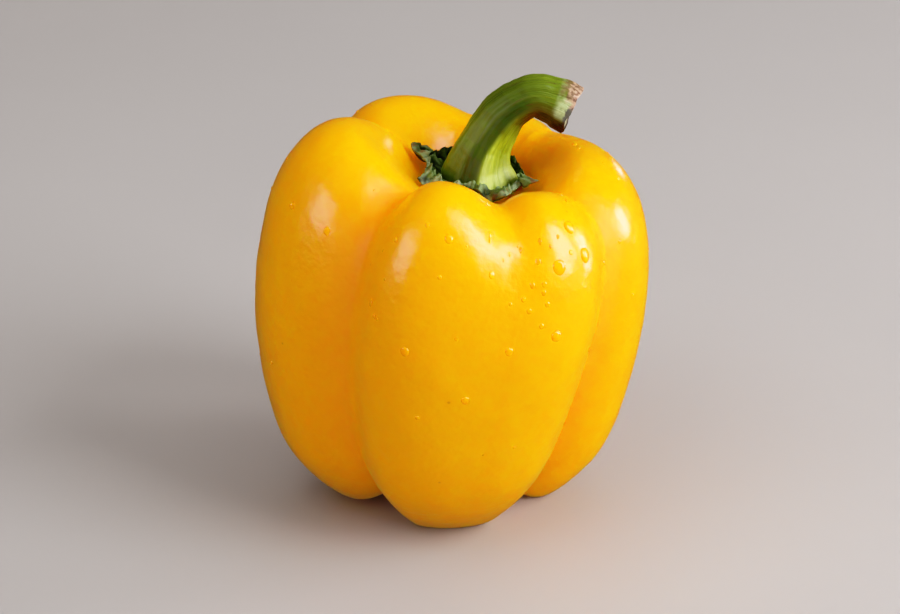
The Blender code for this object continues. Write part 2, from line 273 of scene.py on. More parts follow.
def lobe_outlines():
    """One outline for each lobe's ridge and one for each crease, in millimetres."""
    size = np.array([BELLY_RADIUS, CROWN_HEIGHT])
    ridge = np.array(LOBE_OUTLINE) * size
    crease = np.array(CREASE_OUTLINE) * size
    n = len(ridge)
    belly_share = ramp([2, 7, 9, 13], [0, 1, 1, 0], n)
    crown_share = ramp([2, 5, 8.5], [0, 1, 0], n)
    inner_share = ramp([2, 4, 6], [0, 1, 0], n)
    foot_share = ramp([8, 11, 12, 15], [0, 1, 1, 0], n)
    ridges = []
    for _, _, belly, crown, inner, foot, _, _ in LOBES:
        own = ridge.copy()
        own[:, 0] += belly * belly_share + foot * foot_share
        own[:, 1] += crown * crown_share + inner * inner_share
        ridges.append(own)
    creases = []
    for i, row in enumerate(LOBES):
        level = (ridges[i] + ridges[(i + 1) % len(LOBES)]) / 2
        depth = np.interp(np.arange(n), [5.5, 7, 9, 12], row[6])[:, None]
        creases.append(level + (crease - level) * depth)
    return ridge, ridges, creases


RIDGE, RIDGES, CREASES = lobe_outlines()
ROUNDING = ramp([4, 8, 11], [CREASE_ROUNDING_ENDS, CREASE_ROUNDING_MIDDLE, CREASE_ROUNDING_ENDS], len(RIDGE))


def crease_share(place, width):
    """0 on a lobe's ridge (place 0) and 1 in the crease beside it (place 1), whose bottom is rounded."""
    rounding = ROUNDING * width
    full = np.sqrt(1 + rounding**2)
    dip = (full - np.sqrt((1 - place) ** 2 + rounding**2)) / (full - rounding)
    return dip**LOBE_FULLNESS


def meridian(azimuth):
    """Outline of the skin at one azimuth, and how far into a crease it lies."""
    for i, (middle, end, *_) in enumerate(LOBES):
        start = LOBES[i - 1][1]
        width = (end - start) % 360
        here = (azimuth - start) % 360
        if here < width:
            break
    before = (middle - start) % 360
    if here < before:
        edge, place = i - 1, 1 - here / before
    else:
        edge, place = i, (here - before) / (width - before)
    outline = RIDGES[i] + (CREASES[edge] - RIDGES[i]) * crease_share(place, LOBES[edge][7])[:, None]
    return outline, place**4 * min(LOBES[edge][6][1], 1)


def arc_table():
    """The plain lobe outline's parameter and length, and the rows' lengths, crowded where it bends."""
    at = np.linspace(0, len(RIDGE) - 1, 800)
    line = smooth_curve(RIDGE, at)
    step = np.diff(line, axis=0)
    length = np.concatenate([[0], np.cumsum(np.linalg.norm(step, axis=1))])
    heading = np.unwrap(np.arctan2(step[:, 1], step[:, 0]))
    bend = np.abs(np.gradient(heading))
    effort = np.concatenate([[0], np.cumsum(np.diff(length) + ROW_CROWDING * bend)])
    rows = np.interp(np.linspace(0, effort[-1], FRUIT_ROWS + 1), effort, length)
    return at, length, rows


ARC_PARAMETER, ARC_LENGTH, ROW_LENGTHS = arc_table()


def skin(azimuths, lengths):
    """Points of the fruit's skin, one row for each azimuth; lengths start at the middle of the stem seat."""
    points = np.empty((len(azimuths), lengths.shape[-1], 3))
    for i, azimuth in enumerate(azimuths):
        own = lengths if lengths.ndim == 1 else lengths[i]
        at = np.interp(own, ARC_LENGTH, ARC_PARAMETER)
        radius, height = smooth_curve(meridian(azimuth)[0], at).T
        turn = math.radians(azimuth) + np.radians(TWIST) * (height / CROWN_HEIGHT - 0.5)
        inward = np.clip(1 - at / SEAT_STATIONS, 0, 1)
        seat = inward**2 * (3 - 2 * inward)
        share = np.clip(height / CROWN_HEIGHT, 0, None)
        x = radius * np.cos(turn) + CROWN_LEAN[0] * share**1.5 + SEAT_SHIFT[0] * seat
        y = radius * np.sin(turn) + CROWN_LEAN[1] * share**1.5 + SEAT_SHIFT[1] * seat
        z = height - CROWN_SLOPE * x * share**2
        points[i] = np.stack([x, y, np.maximum(z, 0)], axis=-1)
    return points


def fruit_azimuths():
    """Columns spread so that each lobe's ridge and each crease has one of its own."""
    azimuths = []
    for i, (count, row) in enumerate(zip(FRUIT_COLUMNS, LOBES)):
        start = LOBES[i - 1][1]
        before = (row[0] - start) % 360
        after = (row[1] - row[0]) % 360
        first = max(round(count * before / (before + after)), 2)
        azimuths += [start + before * k / first for k in range(first)]
        azimuths += [start + before + after * k / (count - first) for k in range(count - first)]
    return azimuths


def wave_field(seed, count, shortest, longest):
    """A smooth seeded field from -1 to 1 over points in millimetres: a sum of waves in random directions."""
    random = np.random.default_rng(seed)
    direction = random.normal(size=(count, 3))
    direction /= np.linalg.norm(direction, axis=1, keepdims=True)
    number = 2 * math.pi / random.uniform(shortest, longest, count)
    phase = random.uniform(0, 2 * math.pi, count)

    def field(points):
        waves = np.sin(points @ (direction * number[:, None]).T + phase)
        return np.clip(waves.sum(axis=-1) / math.sqrt(2 * count), -1, 1)

    return field


swell = wave_field(*SWELL_WAVES)
ripple = wave_field(*RIPPLE_WAVES)


def grid_normals(grid):
    """Outward normals of a grid of points whose first axis goes round the object."""
    along = np.gradient(grid, axis=1)
    across = np.roll(grid, -1, axis=0) - np.roll(grid, 1, axis=0)
    normal = np.cross(along, across)
    return normal / np.maximum(np.linalg.norm(normal, axis=-1, keepdims=True), 1e-9)


def shell_faces(columns, rows, offset):
    """Quads between neighbouring columns of points that start at offset."""
    i, j = np.meshgrid(np.arange(columns), np.arange(rows - 1), indexing="ij")
    a = offset + i * rows + j
    b = offset + ((i + 1) % columns) * rows + j
    return np.stack([a, a + 1, b + 1, b], axis=-1).reshape(-1, 4).tolist()


def closed_faces(columns, rows):
    """Faces of a closed form: point 0 and point 1 are its two ends, and its columns follow them."""
    faces = shell_faces(columns, rows, 2)
    for i in range(columns):
        here = 2 + i * rows
        after = 2 + ((i + 1) % columns) * rows
        faces.append((0, here, after))
        faces.append((1, after + rows - 1, here + rows - 1))
    return faces


def make_piece(name, points, faces, material, values=None):
    """A mesh object in metres, with one number for each point under each name in values."""
    mesh = bpy.data.meshes.new(name)
    mesh.from_pydata((np.asarray(points) * MM).tolist(), [], faces)
    mesh.validate()
    mesh.shade_smooth()
    mesh.materials.append(material)
    for key, numbers in (values or {}).items():
        attribute = mesh.attributes.new(key, "FLOAT", "POINT")
        attribute.data.foreach_set("value", np.asarray(numbers, dtype=np.float32))
    piece = bpy.data.objects.new(name, mesh)
    bpy.context.scene.collection.objects.link(piece)
    return piece


# Materials


class Nodes:
    """Short calls for building one node material."""

    def __init__(self, name):
        self.material = bpy.data.materials.new(name)
        self.material.use_nodes = True
        self.tree = self.material.node_tree
        self.shader = self.tree.nodes["Principled BSDF"]
        self.place = self.tree.nodes.new("ShaderNodeTexCoord").outputs["Object"]

    def link(self, source, target):
        self.tree.links.new(source, target)

    def fill(self, socket, value):
        if hasattr(value, "is_output"):
            self.link(value, socket)
        else:
            socket.default_value = value

    def stretched(self, scale, place):
        node = self.tree.nodes.new("ShaderNodeMapping")
        node.inputs["Scale"].default_value = scale
        self.link(place, node.inputs["Vector"])
        return node.outputs["Vector"]

    def noise(self, scale, detail=3.0, roughness=0.5, vector=None):
        node = self.tree.nodes.new("ShaderNodeTexNoise")
        node.inputs["Scale"].default_value = scale
        node.inputs["Detail"].default_value = detail
        node.inputs["Roughness"].default_value = roughness
        self.link(vector or self.place, node.inputs["Vector"])
        return node.outputs["Fac"]

    def cells(self, scale):
        node = self.tree.nodes.new("ShaderNodeTexVoronoi")
        node.inputs["Scale"].default_value = scale
        self.link(self.place, node.inputs["Vector"])
        return node.outputs["Distance"]

    def value(self, name, output="Fac"):
        node = self.tree.nodes.new("ShaderNodeAttribute")
        node.attribute_name = name
        return node.outputs[output]

    def fade(self, value, low, high, start=0.0, end=1.0):
        node = self.tree.nodes.new("ShaderNodeMapRange")
        node.interpolation_type = "SMOOTHSTEP"
        self.fill(node.inputs["Value"], value)
        node.inputs["From Min"].default_value = low
        node.inputs["From Max"].default_value = high
        node.inputs["To Min"].default_value = start
        node.inputs["To Max"].default_value = end
        return node.outputs["Result"]

    def math(self, kind, a, b):
        node = self.tree.nodes.new("ShaderNodeMath")
        node.operation = kind
        self.fill(node.inputs[0], a)
        self.fill(node.inputs[1], b)
        return node.outputs[0]

    def times(self, a, b):
        return self.math("MULTIPLY", a, b)

    def plus(self, a, b):
        return self.math("ADD", a, b)

    def mix(self, share, first, second):
        node = self.tree.nodes.new("ShaderNodeMix")
        node.data_type = "RGBA"
        self.fill(node.inputs["Factor"], share)
        for socket, colour in ((node.inputs[6], first), (node.inputs[7], second)):
            self.fill(socket, colour if hasattr(colour, "is_output") else (*colour, 1.0))
        return node.outputs[2]

    def bump(self, height, distance, below=None):
        node = self.tree.nodes.new("ShaderNodeBump")
        node.inputs["Distance"].default_value = distance
        self.link(height, node.inputs["Height"])
        if below:
            self.link(below, node.inputs["Normal"])
        return node.outputs["Normal"]


def skin_material():
    n = Nodes("pepper skin")
    mottle = n.noise(40.0, 3.0, 0.5)
    colour = n.mix(n.fade(mottle, 0.35, 0.65), SKIN_DEEP, SKIN_BRIGHT)
    # Painted shade: the skin turns deeper orange into the creases
    colour = n.mix(n.times(n.value("crease"), 0.65), colour, SKIN_CREASE_SHADE)
    streaks = n.noise(1.0, 2.0, 0.5, n.stretched((150.0, 150.0, 25.0), n.place))
    colour = n.mix(n.fade(streaks, 0.50, 0.75, 0.0, 0.06), colour, SKIN_STREAK)
    specks = n.fade(n.cells(75.0), 0.036, 0.014, 0.0, 0.45)
    colour = n.mix(specks, colour, SKIN_SPECK)
    n.link(colour, n.shader.inputs["Base Color"])
    n.link(n.fade(n.value("crease"), 0.22, 0.60, 0.29, 0.54), n.shader.inputs["Roughness"])
    n.link(n.fade(n.value("crease"), 0.22, 0.60, 0.45, 0.0), n.shader.inputs["Coat Weight"])
    low = n.bump(n.noise(270.0, 2.0), 0.00022)
    n.link(n.bump(n.noise(700.0, 2.0), 0.00008, low), n.shader.inputs["Normal"])
    n.shader.inputs["Subsurface Weight"].default_value = 0.7
    n.shader.inputs["Subsurface Radius"].default_value = (1.0, 0.28, 0.03)
    n.shader.inputs["Subsurface Scale"].default_value = 0.009
    n.shader.inputs["Specular IOR Level"].default_value = 0.75
    n.shader.inputs["Coat Roughness"].default_value = 0.20
    n.shader.inputs["IOR"].default_value = 1.45
    return n.material


def stem_material():
    n = Nodes("pepper stem")
    flow = n.value("flow", "Vector")
    streaks = n.noise(1.0, 4.0, 0.6, n.stretched((900.0, 900.0, 90.0), flow))
    fibres = n.noise(1.0, 3.0, 0.5, n.stretched((2600.0, 2600.0, 160.0), flow))
    colour = stalk_greens(n, flow, streaks, fibres)
    colour = stalk_underside_scratches_and_end(n, flow, colour)
    colour = cut_end(n, colour)
    n.link(colour, n.shader.inputs["Base Color"])
    n.link(n.fade(streaks, 0.3, 0.7, 0.34, 0.50), n.shader.inputs["Roughness"])
    low = n.bump(streaks, 0.00030)
    n.link(n.bump(fibres, 0.00010, low), n.shader.inputs["Normal"])
    return n.material


def stalk_greens(n, flow, streaks, fibres):
    """Streaked greens: light ribs and foot, dark arch, and painted shade with a painted sheen on one side.
    """
    along = n.value("along")
    patches = n.noise(1.0, 3.0, 0.5, n.stretched((260.0, 260.0, 70.0), flow))
    colour = n.mix(n.fade(streaks, 0.35, 0.65), STEM_GREEN, STEM_LIGHT)
    colour = n.mix(n.fade(patches, 0.50, 0.72, 0.0, 0.5), colour, STEM_PATCH)
    colour = n.mix(n.fade(fibres, 0.55, 0.80, 0.0, 0.5), colour, STEM_FIBRE)
    ridge = n.times(n.value("rib"), n.fade(patches, 0.3, 0.6, 0.1, 0.45))
    colour = n.mix(ridge, colour, STEM_RIDGE)
    colour = n.mix(n.fade(along, 0.30, 0.55, 0.0, 0.65), colour, STEM_ARCH)
    # Painted shade: the side turned away from the key light is darkened, fading out towards the cut end
    dark = n.times(n.value("dark"), n.fade(along, 0.86, 0.60, 0.0, 0.88))
    colour = n.mix(dark, colour, STEM_PAINTED_SHADE)
    # Painted sheen: a grey-green stripe on the shaded side stands in for a reflection of the light on the
    # left
    sheen = n.times(n.value("sheen"), n.fade(streaks, 0.35, 0.60, 0.1, 0.6))
    colour = n.mix(n.times(sheen, n.fade(along, 0.75, 0.50)), colour, STEM_SHEEN)
    foot = n.times(n.fade(along, 0.24, 0.06), n.fade(streaks, 0.25, 0.50))
    # The pale foot shows only where there is no painted shade, so it is partly painted light on the lit side
    lit = n.fade(n.value("dark"), 0.55, 0.05, 0.0, 0.38)
    return n.mix(n.times(foot, lit), colour, STEM_FOOT)


def stalk_underside_scratches_and_end(n, flow, colour):
    """Brown under the arch, scratches along it, and pale patches towards the cut end, partly painted
    highlight.
    """
    along = n.value("along")
    under = n.value("under")
    lower = n.plus(under, n.fade(along, 0.60, 0.75, 0.0, 0.17))
    inside = n.times(n.fade(lower, 0.48, 0.78), n.fade(along, 0.44, 0.62))
    colour = n.mix(n.times(inside, 0.9), colour, STEM_INSIDE)
    scratches = n.noise(1.0, 2.0, 0.5, n.stretched((1500.0, 1500.0, 180.0), flow))
    scarred = n.times(n.fade(scratches, 0.60, 0.68), n.fade(along, 0.45, 0.62))
    colour = n.mix(n.times(scarred, 0.85), colour, STEM_SCRATCH)
    # Partly the stem's own pale end and partly painted highlight: pale patches near the cut, kept off the
    # underside
    pale = n.times(n.fade(along, 0.84, 0.92), n.fade(n.noise(240.0, 3.0), 0.42, 0.58))
    return n.mix(n.times(pale, n.fade(under, 0.70, 0.45, 0.0, 0.8)), colour, STEM_PALE_END_AND_HIGHLIGHT)


def cut_end(n, colour):
    """The cut end: corky at the top of its rim, brown at the bottom, with a pale pith inside."""
    ragged = n.plus(n.value("along"), n.times(n.noise(500.0, 4.0, 0.6), 0.10))
    low_side = n.plus(n.value("under"), n.times(n.noise(300.0, 3.0), 0.4))
    corky = n.mix(n.fade(n.noise(900.0, 4.0), 0.4, 0.6), CORK_DARK, CORK_LIGHT)
    end = n.mix(n.fade(low_side, 0.42, 0.60), corky, RIM_GREY)
    end = n.mix(n.fade(low_side, 0.72, 0.90), end, RIM_BROWN)
    upper_scar = n.times(n.fade(low_side, 0.40, 0.26), n.fade(ragged, 0.90, 0.94))
    colour = n.mix(n.times(upper_scar, 0.8), colour, STEM_SCAR)
    scar = n.times(n.fade(low_side, 0.50, 0.36), n.fade(ragged, 0.955, 0.975))
    colour = n.mix(n.times(scar, 0.8), colour, corky)
    tip = n.times(n.fade(low_side, 0.86, 1.04), n.fade(ragged, 0.93, 0.98))
    colour = n.mix(tip, colour, RIM_BROWN)
    colour = n.mix(n.fade(ragged, 1.012, 1.030), colour, end)
    pith = n.mix(n.fade(n.noise(700.0, 4.0), 0.35, 0.65), PITH_DARK, PITH_LIGHT)
    return n.mix(n.fade(n.value("cut"), 0.25, 0.6), colour, pith)


def calyx_material():
    n = Nodes("pepper calyx")
    patches = n.noise(420.0, 5.0, 0.65)
    colour = n.mix(n.fade(patches, 0.38, 0.62), CALYX_DEEP, CALYX_GREEN)
    # Painted light and shade: the crinkles' crests are lighter and their hollows nearly black
    colour = n.mix(n.fade(n.value("height"), 0.55, 0.85, 0.0, 0.75), colour, CALYX_CREST_LIGHT)
    colour = n.mix(n.fade(n.value("height"), 0.40, 0.15, 0.0, 0.9), colour, CALYX_HOLLOW_SHADE)
    rim = n.times(n.fade(n.value("rim"), 0.86, 0.98), n.fade(n.noise(300.0, 3.0), 0.42, 0.58))
    colour = n.mix(rim, colour, CALYX_RIM)
    tips = n.times(n.fade(n.value("tip"), 0.4, 0.9), n.fade(n.noise(500.0, 3.0), 0.5, 0.6))
    colour = n.mix(n.times(tips, 0.8), colour, CALYX_TIP)
    n.link(colour, n.shader.inputs["Base Color"])
    n.shader.inputs["Roughness"].default_value = 0.58
    low = n.bump(n.noise(600.0, 4.0, 0.6), 0.0005)
    n.link(n.bump(n.noise(2200.0, 3.0), 0.00010, low), n.shader.inputs["Normal"])
    return n.material


def water_material():
    n = Nodes("water on yellow skin")
    n.shader.inputs["Base Color"].default_value = (*WATER, 1.0)
    n.shader.inputs["Roughness"].default_value = 0.03
    n.shader.inputs["IOR"].default_value = 1.45
    n.shader.inputs["Transmission Weight"].default_value = 0.35
    n.shader.inputs["Coat Weight"].default_value = 1.0
    n.shader.inputs["Coat Roughness"].default_value = 0.03
    return n.material


def floor_material():
    n = Nodes("pale floor")
    n.link(n.mix(n.noise(6.0, 4.0), FLOOR_DEEP, FLOOR_PALE), n.shader.inputs["Base Color"])
    n.shader.inputs["Roughness"].default_value = 0.6
    return n.material


# Pieces


def dimpled(azimuths, lengths):
    """The skin with gentle hollows pressed into it, so that it never stands proud of the plain form."""
    grid = skin(azimuths, lengths)
    normal = grid_normals(grid)
    depth = SWELL_DEPTH * (1 + swell(grid)) / 2 + RIPPLE_DEPTH * (1 + ripple(grid)) / 2
    depth = LEAST_DEPTH + depth * np.clip(grid[..., 2] / FOOT_FADE, 0, 1)
    pressed = grid - normal * depth[..., None]
    pressed[..., 2] = np.maximum(pressed[..., 2], 0)
    return pressed


def make_fruit(shift, material):
    azimuths = fruit_azimuths()
    grid = dimpled(azimuths, ROW_LENGTHS)
    grid[:, 0] = grid[:, 0].mean(axis=0)
    grid[:, -1] = grid[:, -1].mean(axis=0)
    points = np.concatenate([grid[:1, 0], grid[:1, -1], grid[:, 1:-1].reshape(-1, 3)])
    faces = closed_faces(len(azimuths), FRUIT_ROWS - 1)
    stations = np.interp(ROW_LENGTHS[1:-1], ARC_LENGTH, ARC_PARAMETER)
    inside = np.interp(stations, *np.transpose(CREASE_SHADE_AND_DULLING))
    crease = np.outer([meridian(a)[1] for a in azimuths], inside).ravel()
    crease = np.concatenate([[0, 0], crease])
    return make_piece("fruit_skin", points + shift, faces, material, {"crease": crease})


def tooth_reach(azimuths):
    """How far the collar reaches from the stem's middle: its teeth, made ragged by a few waves."""
    reach = np.full(len(azimuths), COLLAR_REACH)
    for middle, length in TEETH:
        away = (azimuths - middle + 180) % 360 - 180
        reach += (length - COLLAR_REACH) * np.exp(-((away / TOOTH_HALF_WIDTH) ** 2))
    turn = np.radians(azimuths)
    ragged = np.sin(11 * turn + 0.6) + 0.8 * np.sin(17 * turn + 2.1) + 0.6 * np.sin(29 * turn + 4.0)
    ragged += 0.5 * np.sin(47 * turn + 1.0) + 0.4 * np.sin(71 * turn + 3.0)
    return reach + RAGGEDNESS * ragged


def collar_sheets(azimuths, shares, reach):
    """The collar's under side and upper side, and how high its crinkles stand, from -1 to 1."""
    lengths = reach[:, None] * shares
    seat = skin(azimuths, lengths)
    normal = grid_normals(seat)
    normal[:, 0] = (0, 0, 1)
    turn = np.radians(azimuths)[:, None]
    edge = np.clip((lengths - CRINKLE_START + CRINKLE_LEAD) / CRINKLE_RUN, 0, 1)
    lumps = wave_field(*LUMP_WAVES)(seat)
    folds = wave_field(*FOLD_WAVES)(seat)
    curl = RIM_CURL * edge**2 * (0.55 + 0.45 * np.sin(5 * turn + 4.45))
    low = GAP + curl + CALYX_CRINKLE * 0.5 * edge * (1 + folds)
    rise = COLLAR_THICKNESS + (RIM_THICKNESS - COLLAR_THICKNESS) * edge
    thin = np.clip((1 - shares) / RIM_TAPER, 0.25, 1)
    high = low + rise * thin + CALYX_CRINKLE * 0.6 * edge * (1 + lumps) * thin
    return seat + normal * low[..., None], seat + normal * high[..., None], 0.55 * lumps + 0.45 * folds


def collar_faces(columns, rows):
    """Upper side round point 0, under side round point 1, and the edge between them."""
    upper, lower = 2, 2 + columns * rows
    faces = shell_faces(columns, rows, upper)
    faces += [face[::-1] for face in shell_faces(columns, rows, lower)]
    for i in range(columns):
        j = (i + 1) % columns
        faces.append((0, upper + i * rows, upper + j * rows))
        faces.append((1, lower + j * rows, lower + i * rows))
        a, b = upper + i * rows + rows - 1, lower + i * rows + rows - 1
        c, d = lower + j * rows + rows - 1, upper + j * rows + rows - 1
        faces.append((a, b, c, d))
    return faces


def make_calyx(shift, material):
    """The crinkled collar, and the middle of its upper side, where the stem stands."""
    azimuths = np.arange(CALYX_COLUMNS) * 360 / CALYX_COLUMNS
    shares = np.linspace(0, 1, CALYX_ROWS) ** 0.8
    reach = tooth_reach(azimuths)
    under, over, crinkle = collar_sheets(azimuths, shares, reach)
    middle = [over[:, 0].mean(axis=0), under[:, 0].mean(axis=0)]
    points = np.concatenate([middle, over[:, 1:].reshape(-1, 3), under[:, 1:].reshape(-1, 3)])

    def both(numbers):
        flat = np.broadcast_to(numbers, (CALYX_COLUMNS, CALYX_ROWS))[:, 1:].ravel()
        return np.concatenate([[0.5, 0.5], flat, flat])

    tip = np.clip((reach - COLLAR_REACH - 0.6) / 2, 0, 1)[:, None] * shares**6
    values = {"height": both(0.5 + 0.5 * crinkle), "rim": both(shares), "tip": both(tip)}
    faces = collar_faces(CALYX_COLUMNS, CALYX_ROWS - 1)
    return make_piece("calyx_collar", points + shift, faces, material, values), middle[0]


def curve_through(points, shares):
    """Smooth curve through the given points, at shares of its length, with its direction there."""
    points = np.array(points, float)
    knots = np.concatenate([[0], np.cumsum(np.linalg.norm(np.diff(points, axis=0), axis=1))])
    slopes = np.gradient(points, knots, axis=0)
    at = np.array(shares) * knots[-1]
    k = np.clip(np.searchsorted(knots, at, side="right") - 1, 0, len(points) - 2)
    span = (knots[k + 1] - knots[k])[:, None]
    f = ((at - knots[k]) / (knots[k + 1] - knots[k]))[:, None]
    place = (2 * f**3 - 3 * f**2 + 1) * points[k] + (f**3 - 2 * f**2 + f) * span * slopes[k]
    place += (3 * f**2 - 2 * f**3) * points[k + 1] + (f**3 - f**2) * span * slopes[k + 1]
    direction = np.gradient(place, axis=0)
    return place, direction / np.linalg.norm(direction, axis=1, keepdims=True)


def smoothed(shares, stations, numbers):
    """The numbers between the stations, with the corners rounded off."""
    fine = np.linspace(-0.1, 1.1, 481)
    rough = np.interp(fine, stations, numbers)
    window = np.hanning(33)
    window /= window.sum()
    padded = np.pad(rough, 16, mode="edge")
    return np.interp(shares, fine, np.convolve(padded, window, mode="valid"))


def rib_height(turn):
    """How far the stem's section stands out from a circle: a polygon with a blurred corner for each rib."""
    step = 2 * math.pi / STEM_RIBS
    inside = (turn - math.radians(RIB_AZIMUTH) + step / 2) % step - step / 2
    polygon = math.cos(step / 2) / np.cos(step / 2 - np.abs(inside))
    order = np.arange(len(turn) // 2 + 1)
    blur = np.exp(-0.5 * (order * math.radians(STEM_CORNER_BLUR)) ** 2)
    polygon = np.fft.irfft(np.fft.rfft(polygon) * blur, len(turn))
    return polygon / polygon.mean() - 1


def section(turn, share, half, ribs):
    """The stem's radius all round as a share of its half thickness, and how far its end flares there."""
    flare = np.clip((share - FLARE_START) / (1 - FLARE_START), 0, 1)
    root = np.clip(1 - share / ROOT_REACH, 0, 1)
    radius = 1 + ribs * (RIB_SHARE + ROOT_RIBS * root)
    radius = radius + FLARE_DROOP * flare * np.clip(np.cos(turn), 0, 1) ** 2
    spread = ROOT_SPREAD / half * np.clip(1 - share / ROOT_SPREAD_REACH, 0, 1) ** 2
    radius = radius + spread * np.clip(np.cos(turn - math.radians(ROOT_SPREAD_AZIMUTH)), 0, 1)
    grooves = np.sin(17 * turn + 3 * share) + 0.6 * np.sin(29 * turn - 5 * share + 1.0)
    return radius - STEM_GROOVES / half * (1 + grooves / 1.6) / 2, flare


def stem_rings(shares, line, direction, turn):
    """Rings of points round the stem, from its foot to the rim of its cut end."""
    stations, thick, wide = np.array(STEM_SIZES).T
    halves = smoothed(shares, stations, thick)
    halves_wide = smoothed(shares, stations, wide)
    ribs = rib_height(turn)
    twist = np.radians(np.interp(shares, *np.transpose(RIB_TWIST)))
    rough = wave_field(*ROUGH_WAVES)
    chipped = wave_field(*CHIP_WAVES)
    rings = []
    for i, (middle, ahead) in enumerate(zip(line, direction)):
        own_ribs = np.interp(turn - twist[i], turn, ribs, period=2 * math.pi)
        out = np.cross((0.0, 1.0, 0.0), ahead)
        out /= np.linalg.norm(out)
        side = np.cross(ahead, out)
        radius, flare = section(turn, shares[i], halves[i], own_ribs)
        ring = middle + np.outer(halves[i] * radius * np.cos(turn), out)
        ring = ring + np.outer(halves_wide[i] * radius * np.sin(turn), side)
        inward = (middle - ring) / halves[i]
        ring = ring + inward * (STEM_ROUGHNESS * (1 + rough(ring)))[:, None]
        rings.append(ring - ahead * (CHIPPED_RIM * flare * (1 + chipped(ring)))[:, None])
    return rings


def cut_face_rings(rim, ahead):
    """Rings from the stem's rim inwards over its dished, pitted cut face."""
    middle = rim.mean(axis=0)
    pits = wave_field(*PIT_WAVES)
    rings = []
    for inset, sink in CUT_FACE:
        ring = middle + (rim - middle) * (1 - inset)
        depth = sink + CUT_PITS * pits(ring) * min(sink, 1)
        rings.append(ring - np.outer(depth, ahead))
    return rings


def stem_values(shares, turn):
    """What the stem's material needs at each point, and the point's place on a stem laid out straight."""
    share = np.concatenate([shares, np.ones(len(CUT_FACE))])
    cut = np.concatenate([np.zeros(len(shares)), np.linspace(0.1, 1, len(CUT_FACE))])
    ribs = rib_height(turn)
    ribs = np.clip(ribs / ribs.max(), 0, 1)
    around = np.degrees(turn)[:, None] - np.interp(share, *np.transpose(RIB_TWIST))
    all_round, all_along = np.ones(len(turn)), np.ones(len(share))

    def spread(by_turn, by_row):
        return np.concatenate([[0, 1], np.outer(by_turn, by_row).ravel()])

    def turned(side):
        return np.concatenate([[0, 0], np.interp(around % 360, *np.transpose(side)).ravel()])

    values = {
        "dark": turned(PAINTED_SHADE_SIDE),
        "sheen": turned(PAINTED_SHEEN_STRIPE),
        "along": spread(all_round, share),
        "cut": spread(all_round, cut),
        "rib": spread(ribs, all_along),
        "under": spread((1 + np.cos(turn)) / 2, all_along),
    }
    across = spread(np.cos(turn) * STRAIGHT_RADIUS, all_along)
    aside = spread(np.sin(turn) * STRAIGHT_RADIUS, all_along)
    return values, np.stack([across, aside, values["along"] * STRAIGHT_LENGTH], axis=-1)


def make_stem(shift, foot, material):
    shares = np.linspace(0, 1, STEM_ROWS) ** 1.05
    turn = np.arange(STEM_COLUMNS) * 2 * math.pi / STEM_COLUMNS
    line, direction = curve_through(STEM_LINE, shares)
    rings = stem_rings(shares, line, direction, turn)
    rings += cut_face_rings(rings[-1], direction[-1])
    points = np.array(rings).transpose(1, 0, 2).reshape(-1, 3)
    caps = [rings[0].mean(axis=0), rings[-1].mean(axis=0)]
    faces = [face[::-1] for face in closed_faces(STEM_COLUMNS, len(rings))]
    moved = np.concatenate([caps, points]) + foot + shift - np.array([0.0, 0.0, ROOT_SINK])
    values, flow = stem_values(shares, turn)
    stem = make_piece("stem_stalk", moved, faces, material, values)
    attribute = stem.data.attributes.new("flow", "FLOAT_VECTOR", "POINT")
    attribute.data.foreach_set("vector", (flow * MM).astype(np.float32).ravel())
    return stem


def skin_spot(azimuth, height):
    """Point and outward normal of the dimpled skin on a lobe's outside, at an azimuth and a height.

    The last column is on the far side, so that the four columns go all round the fruit.
    """
    line = skin([azimuth], ROW_LENGTHS)[0]
    top = int(np.argmax(line[:, 2]))
    length = np.interp(-height, -line[top:, 2], ROW_LENGTHS[top:])
    columns = [azimuth - 0.6, azimuth, azimuth + 0.6, azimuth + 180]
    near = dimpled(columns, length + np.array([-0.5, 0.0, 0.5]))
    along = near[1, 2] - near[1, 0]
    across = near[2, 1] - near[0, 1]
    normal = np.cross(along, across)
    return near[1, 1], normal / np.linalg.norm(normal)


def drop_points(middle, normal, size, stretch, tall):
    """Rings of one drop of water: a low dome, a little longer downwards."""
    down = np.array([0.0, 0.0, -1.0])
    down -= normal * (down @ normal)
    down /= max(np.linalg.norm(down), 1e-6)
    across = np.cross(normal, down)
    turn = np.arange(DROP_SIDES) * math.tau / DROP_SIDES
    rings = []
    for level in np.linspace(0, 1, DROP_RINGS + 1)[:-1]:
        reach = math.cos(level * math.pi / 2) ** 0.8
        lift = math.sin(level * math.pi / 2)
        longer = 1 + (stretch - 1) * (0.5 + 0.5 * np.cos(turn))
        ring = np.outer(np.cos(turn) * longer, down) + np.outer(np.sin(turn), across)
        rings.append(middle + ring * size / 2 * reach + normal * (lift * tall * size - DROP_SINK))
    rings.append((middle + normal * (tall * size - DROP_SINK))[None])
    return rings


def drop_faces(start):
    """Faces of one drop whose points begin at start: its rings, its top and its flat underside."""
    neighbours = [(i, (i + 1) % DROP_SIDES) for i in range(DROP_SIDES)]
    faces = []
    for j in range(DROP_RINGS - 1):
        low = start + j * DROP_SIDES
        high = low + DROP_SIDES
        faces += [(low + i, low + k, high + k, high + i) for i, k in neighbours]
    last = start + DROP_SIDES * (DROP_RINGS - 1)
    faces += [(last + i, last + k, last + DROP_SIDES) for i, k in neighbours]
    faces.append(tuple(start + i for i in reversed(range(DROP_SIDES))))
    return faces


